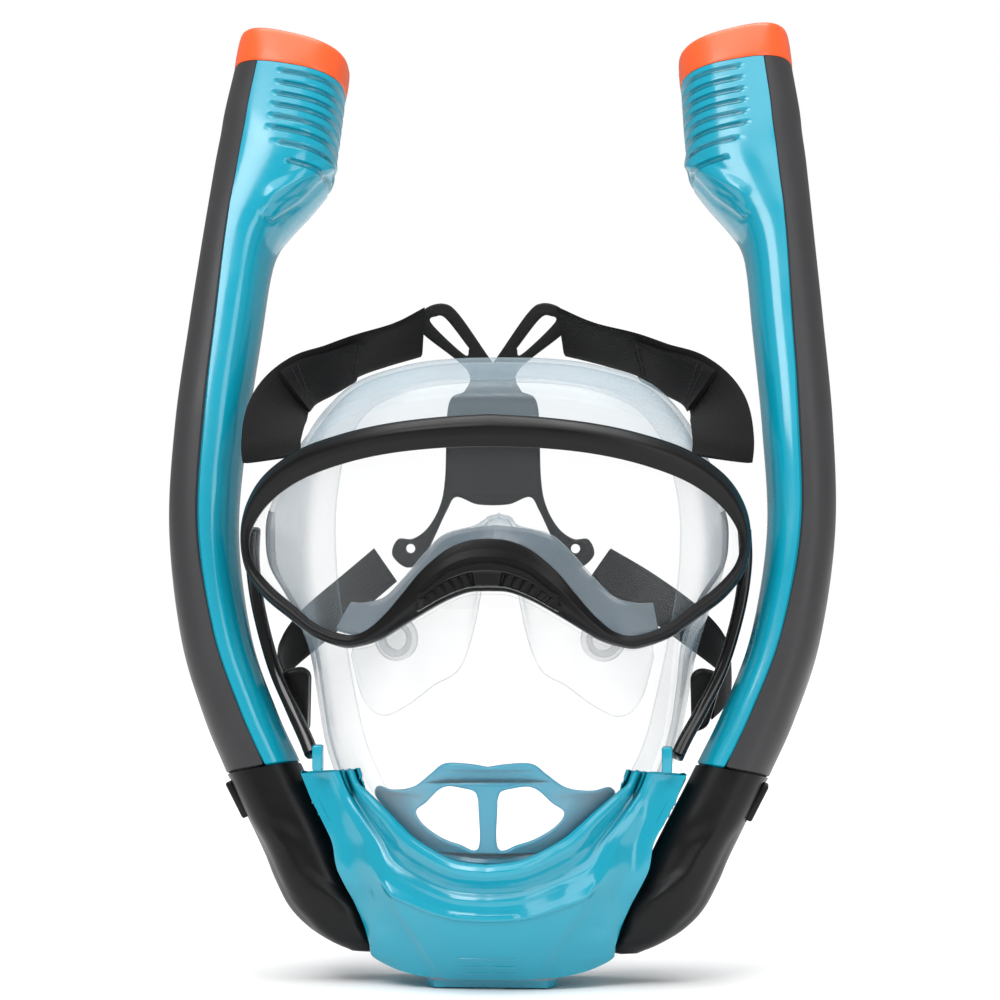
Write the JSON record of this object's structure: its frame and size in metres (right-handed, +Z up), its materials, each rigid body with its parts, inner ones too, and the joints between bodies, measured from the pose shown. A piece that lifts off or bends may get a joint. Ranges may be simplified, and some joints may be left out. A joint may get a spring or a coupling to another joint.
{
  "type": "full-face snorkel mask",
  "caption": "Full-face snorkel mask with clear lens and silicone face skirt, teal chin housing, twin curved snorkel tubes with capped float heads, side latches and strap harness.",
  "frame": {"origin": "middle of the plane where the silicone skirt seals on the face, level with the eyes", "axes": "+Z up the wearer's face, +Y towards the wearer, +X to the side of the snorkel called right; the lens faces -Y"},
  "size_m": [0.2206, 0.1328, 0.3187],
  "materials": {
    "teal": "gloss",
    "charcoal": "satin",
    "orange": "gloss",
    "black": "satin",
    "black_rubber": "matte",
    "webbing": "woven",
    "lens": "polished",
    "window": "polished",
    "silicone": "satin",
    "silicone_clear": "satin",
    "support": "translucent gloss",
    "seal": "satin",
    "float": "satin"
  },
  "bodies": {
    "mask": {"goggle_frame": "black", "eye_lens": "lens", "nose_bridge": "black", "face_skirt": "silicone_clear", "nose_pocket": "silicone_clear", "lower_window": "window", "chin_shell": "teal", "mouth_support": "support", "drain_cover": "teal", "elbow_right": "black", "port_sleeve_right": "seal", "side_strut_right": "black", "chin_clip_right": "teal", "strap_anchor_right": "black", "upper_strap_right": "webbing", "strap_tail_right": "webbing", "lower_strap_right": "webbing", "check_seat_right": "seal", "elbow_left": "black", "port_sleeve_left": "seal", "side_strut_left": "black", "chin_clip_left": "teal", "strap_anchor_left": "black", "upper_strap_left": "webbing", "strap_tail_left": "webbing", "lower_strap_left": "webbing", "check_seat_left": "seal"},
    "harness": {"rear_harness": "black_rubber"},
    "drain": {"drain_flap": "silicone"},
    "snorkel_right": {"tube_shell_right": "teal", "tube_cover_right": "charcoal", "tube_cap_right": "orange", "float_cage_right": "float", "valve_seat_right": "seal", "spigot_right": "black", "spigot_seal_right": "seal"},
    "float_right": {"float_right": "float"},
    "latch_right": {"latch_right": "black"},
    "check_right": {"check_flap_right": "silicone"},
    "snorkel_left": {"tube_shell_left": "teal", "tube_cover_left": "charcoal", "tube_cap_left": "orange", "float_cage_left": "float", "valve_seat_left": "seal", "spigot_left": "black", "spigot_seal_left": "seal"},
    "float_left": {"float_left": "float"},
    "latch_left": {"latch_left": "black"},
    "check_left": {"check_flap_left": "silicone"}
  },
  "joints": [
    {"name": "harness_stretch", "type": "slide", "parent": "mask", "child": "harness", "axis": [0, 1, 0], "range_m": [0, 0.03], "stiffness_N_per_m": 120, "deforming": ["upper_strap_right", "strap_tail_right", "lower_strap_right", "upper_strap_left", "strap_tail_left", "lower_strap_left"]},
    {"name": "drain_flap_lift", "type": "slide", "parent": "mask", "child": "drain", "axis": [0, 0, -1], "range_m": [0, 0.0005], "stiffness_N_per_m": 15},
    {"name": "snorkel_pull_right", "type": "slide", "parent": "mask", "child": "snorkel_right", "axis": [0.4488, 0.1457, 0.8817], "range_m": [0, 0.026]},
    {"name": "float_rise_right", "type": "slide", "parent": "snorkel_right", "child": "float_right", "axis": [-0.1059, 0.363, 0.9257], "range_m": [0, 0.005]},
    {"name": "latch_press_right", "type": "slide", "parent": "mask", "child": "latch_right", "axis": [-0.8912, 0, 0.4536], "range_m": [0, 0.001], "stiffness_N_per_m": 400},
    {"name": "check_flap_lift_right", "type": "slide", "parent": "mask", "child": "check_right", "axis": [0.3055, -0.9501, -0.0633], "range_m": [0, 0.001], "stiffness_N_per_m": 15},
    {"name": "snorkel_pull_left", "type": "slide", "parent": "mask", "child": "snorkel_left", "axis": [-0.4488, 0.1457, 0.8817], "range_m": [0, 0.026]},
    {"name": "float_rise_left", "type": "slide", "parent": "snorkel_left", "child": "float_left", "axis": [0.1059, 0.363, 0.9257], "range_m": [0, 0.005]},
    {"name": "latch_press_left", "type": "slide", "parent": "mask", "child": "latch_left", "axis": [0.8912, 0, 0.4536], "range_m": [0, 0.001], "stiffness_N_per_m": 400},
    {"name": "check_flap_lift_left", "type": "slide", "parent": "mask", "child": "check_left", "axis": [-0.3055, -0.9501, -0.0633], "range_m": [0, 0.001], "stiffness_N_per_m": 15}
  ]
}
